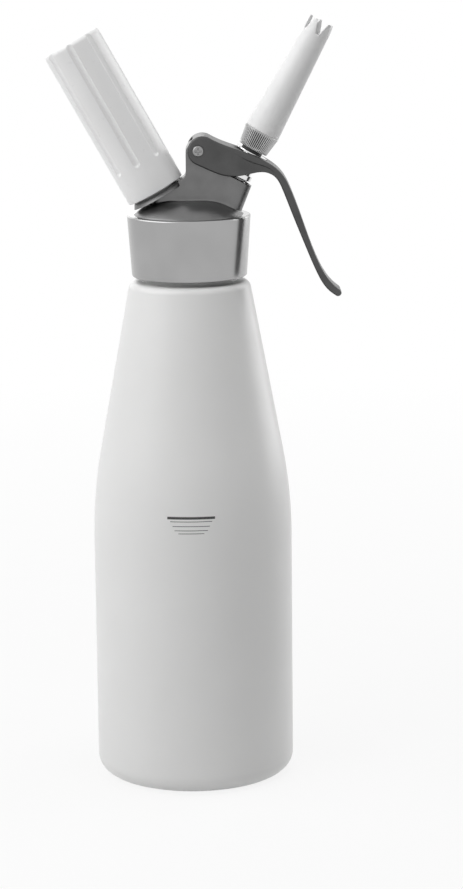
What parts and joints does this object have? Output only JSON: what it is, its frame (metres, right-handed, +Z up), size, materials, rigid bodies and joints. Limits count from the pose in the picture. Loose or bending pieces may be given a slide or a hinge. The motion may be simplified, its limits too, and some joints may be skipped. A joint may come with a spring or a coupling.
{
  "type": "whipped cream dispenser",
  "caption": "White pressure bottle with a screw-on metal head: a lever opens a sprung valve and lets gas-charged cream out through a tilted star tip.",
  "frame": {"origin": "centre of the bottle's flat base, on the surface it stands on", "axes": "+Z up along the bottle; +X towards the decorating tip and the lever's handle, -X towards the charger holder; the front, with the fill mark, faces -Y"},
  "size_m": [0.1447, 0.1, 0.3829],
  "materials": {
    "white_enamel": "gloss",
    "brushed_band": "satin",
    "cast_alloy": "satin",
    "lever_alloy": "satin",
    "bright_steel": "polished",
    "turned_steel": "satin",
    "charger_steel": "satin",
    "brass": "satin",
    "spring_steel": "satin",
    "knurled_steel": "satin",
    "white_plastic": "gloss",
    "tip_plastic": "satin",
    "black_rubber": "matte",
    "grey_seal": "matte",
    "guide_plastic": "matte"
  },
  "bodies": {
    "bottle": {"bottle": "white_enamel"},
    "gasket": {"head_gasket": "grey_seal"},
    "head": {"head_casting": "cast_alloy", "collar": "brushed_band", "inlet_fitting": "turned_steel", "pin_holder": "brass", "piercing_pin": "bright_steel", "charger_seal": "black_rubber", "inlet_check_valve": "grey_seal", "check_valve_nut": "brass", "stem_guide": "guide_plastic", "stem_o_rings": "black_rubber", "valve_spring": "spring_steel"},
    "charger": {"charger": "charger_steel"},
    "holder": {"charger_holder": "white_plastic"},
    "lever": {"lever": "lever_alloy", "pivot_screw": "bright_steel", "pivot_sleeve": "brass", "pivot_nut": "bright_steel"},
    "valve": {"valve_stem": "turned_steel", "push_collar": "bright_steel", "stem_washer": "bright_steel", "valve_seal": "grey_seal", "valve_nut": "brass"},
    "tip_seal": {"tip_gasket": "black_rubber"},
    "tip": {"tip_adapter": "knurled_steel", "star_tip": "tip_plastic"}
  },
  "joints": [
    {"name": "head_rise", "type": "slide", "parent": "bottle", "child": "gasket", "axis": [0, 0, 1], "range_m": [0, 0.024]},
    {"name": "head_turn", "type": "hinge", "parent": "gasket", "child": "head", "pos_m": [0, 0, 0.2795], "axis": [0, 0, 1], "range_deg": [0, 2160.1]},
    {"name": "charger_travel", "type": "slide", "parent": "head", "child": "charger", "axis": [-0.4848, 0, 0.8746], "range_m": [0, 0.014]},
    {"name": "holder_turn", "type": "hinge", "parent": "charger", "child": "holder", "pos_m": [-0.0163, 0, 0.2977], "axis": [-0.4848, 0, 0.8746], "range_deg": [0, 3360.1]},
    {"name": "lever_squeeze", "type": "hinge", "parent": "head", "child": "lever", "pos_m": [0.0049, 0, 0.3177], "axis": [0, 1, 0], "range_deg": [0, 6], "stiffness_Nm_per_rad": 2, "springref_deg": -6.88},
    {"name": "valve_travel", "type": "slide", "parent": "head", "child": "valve", "axis": [-0.4848, 0, -0.8746], "range_m": [0, 0.00324], "deforming": ["valve_spring"]},
    {"name": "tip_lift", "type": "slide", "parent": "valve", "child": "tip_seal", "axis": [0.4848, 0, 0.8746], "range_m": [0, 0.008]},
    {"name": "tip_turn", "type": "hinge", "parent": "tip_seal", "child": "tip", "pos_m": [0.03205, 0, 0.31746], "axis": [0.4848, 0, 0.8746], "range_deg": [0, 2880.1]}
  ],
  "couplings": [
    {"joint": "head_turn", "follows": "head_rise", "rad_per_m": 1570.8},
    {"joint": "holder_turn", "follows": "charger_travel", "rad_per_m": 4188.8},
    {"joint": "lever_squeeze", "follows": "valve_travel", "rad_per_m": 32.362},
    {"joint": "tip_turn", "follows": "tip_lift", "rad_per_m": 6283.2}
  ]
}
